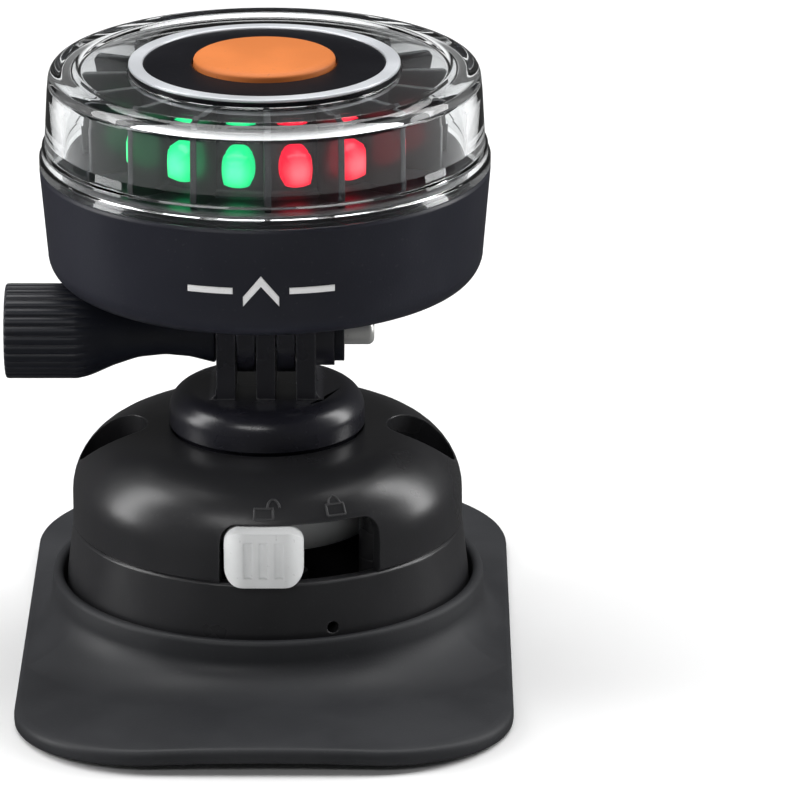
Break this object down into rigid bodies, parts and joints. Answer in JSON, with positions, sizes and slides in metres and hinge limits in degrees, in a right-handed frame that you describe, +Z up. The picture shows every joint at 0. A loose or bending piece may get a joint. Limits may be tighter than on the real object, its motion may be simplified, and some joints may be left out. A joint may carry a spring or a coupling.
{
  "type": "navigation light",
  "caption": "Clear-lensed tricolour navigation light on a tilting clamp hinge, with a toothed twist-lock plug seated in a domed deck base on a rubber pad.",
  "frame": {"origin": "centre of the backing plate's underside, on the deck, under the axis of the plug and the light", "axes": "+Z up along the plug's axis; -Y towards the bow, between the green and red cells; the clamp knob points towards -X; the pad's long side lies along Y"},
  "size_m": [0.0928, 0.136, 0.1126],
  "materials": {
    "pad_rubber": "soft satin moulded rubber",
    "nylon_grey": "moulded, unpolished",
    "base_plastic": "satin moulded plastic",
    "zinc_steel": "bright zinc plating",
    "lock_grey": "light grey, satin",
    "plug_nylon": "glass-filled nylon, semi-gloss",
    "knob_nylon": "semi-gloss nylon",
    "housing_plastic": "fine-textured charcoal",
    "cell_sleeve": "printed sleeve",
    "print_white": "pad-printed ink",
    "lens_clear": "clear polycarbonate",
    "seal_rubber": "moulded O-ring",
    "carrier_plastic": "black, semi-gloss",
    "board_green": "circuit board",
    "led_green": "lit green",
    "led_red": "lit red",
    "led_white": "lit white",
    "pin_brass": "plain",
    "face_black": "black, satin",
    "trim_silver": "satin silver",
    "button_orange": "soft-touch orange"
  },
  "bodies": {
    "base": {"rubber_pad": "pad_rubber", "backing_plate": "nylon_grey", "base_body": "base_plastic", "base_cover": "base_plastic", "fixing_screws": "zinc_steel", "cover_screws": "zinc_steel", "detent_balls": "zinc_steel", "detent_springs": "zinc_steel"},
    "lock_ring": {"lock_ring": "lock_grey", "front_thumb_tab": "lock_grey", "rear_thumb_tab": "lock_grey"},
    "adapter": {"twist_plug": "plug_nylon", "prong_disc": "plug_nylon", "plug_screw": "zinc_steel", "clamp_nut": "knob_nylon"},
    "knob": {"clamp_knob": "knob_nylon", "clamp_bolt": "zinc_steel"},
    "head": {"lower_housing": "housing_plastic", "tilt_bracket": "plug_nylon", "bracket_screws": "zinc_steel", "battery_tray": "nylon_grey", "battery_cells": "cell_sleeve", "contact_springs": "zinc_steel", "contact_plates": "zinc_steel", "bow_mark": "print_white"},
    "upper_unit": {"lens": "lens_clear", "lens_seal": "seal_rubber", "led_carrier": "carrier_plastic", "led_strip": "board_green", "green_leds": "led_green", "red_leds": "led_red", "white_leds": "led_white", "main_board": "board_green", "switch_board": "board_green", "board_pins": "pin_brass", "mode_switch": "carrier_plastic", "face_plate": "face_black", "trim_ring": "trim_silver", "button_seal": "seal_rubber"},
    "button": {"mode_button": "button_orange"}
  },
  "joints": [
    {"name": "light_lift", "type": "slide", "parent": "base", "child": "adapter", "axis": [0, 0, 1], "range_m": [0, 0.036]},
    {"name": "lock_turn", "type": "hinge", "parent": "base", "child": "lock_ring", "pos_m": [0, 0, 0.0269], "axis": [0, 0, 1], "range_deg": [0, 22.5]},
    {"name": "head_tilt", "type": "hinge", "parent": "adapter", "child": "head", "pos_m": [0, 0, 0.0597], "axis": [1, 0, 0], "range_deg": [-48, 48]},
    {"name": "knob_turn", "type": "hinge", "parent": "adapter", "child": "knob", "pos_m": [-0.03, 0, 0.0597], "axis": [1, 0, 0], "continuous": true},
    {"name": "lens_twist", "type": "hinge", "parent": "head", "child": "upper_unit", "pos_m": [0, 0, 0.0922], "axis": [0, 0, 1], "range_deg": [0, 30]},
    {"name": "button_press", "type": "slide", "parent": "upper_unit", "child": "button", "axis": [0, 0, -1], "range_m": [0, 0.0008], "stiffness_N_per_m": 1500, "springref_m": -0.0004}
  ]
}
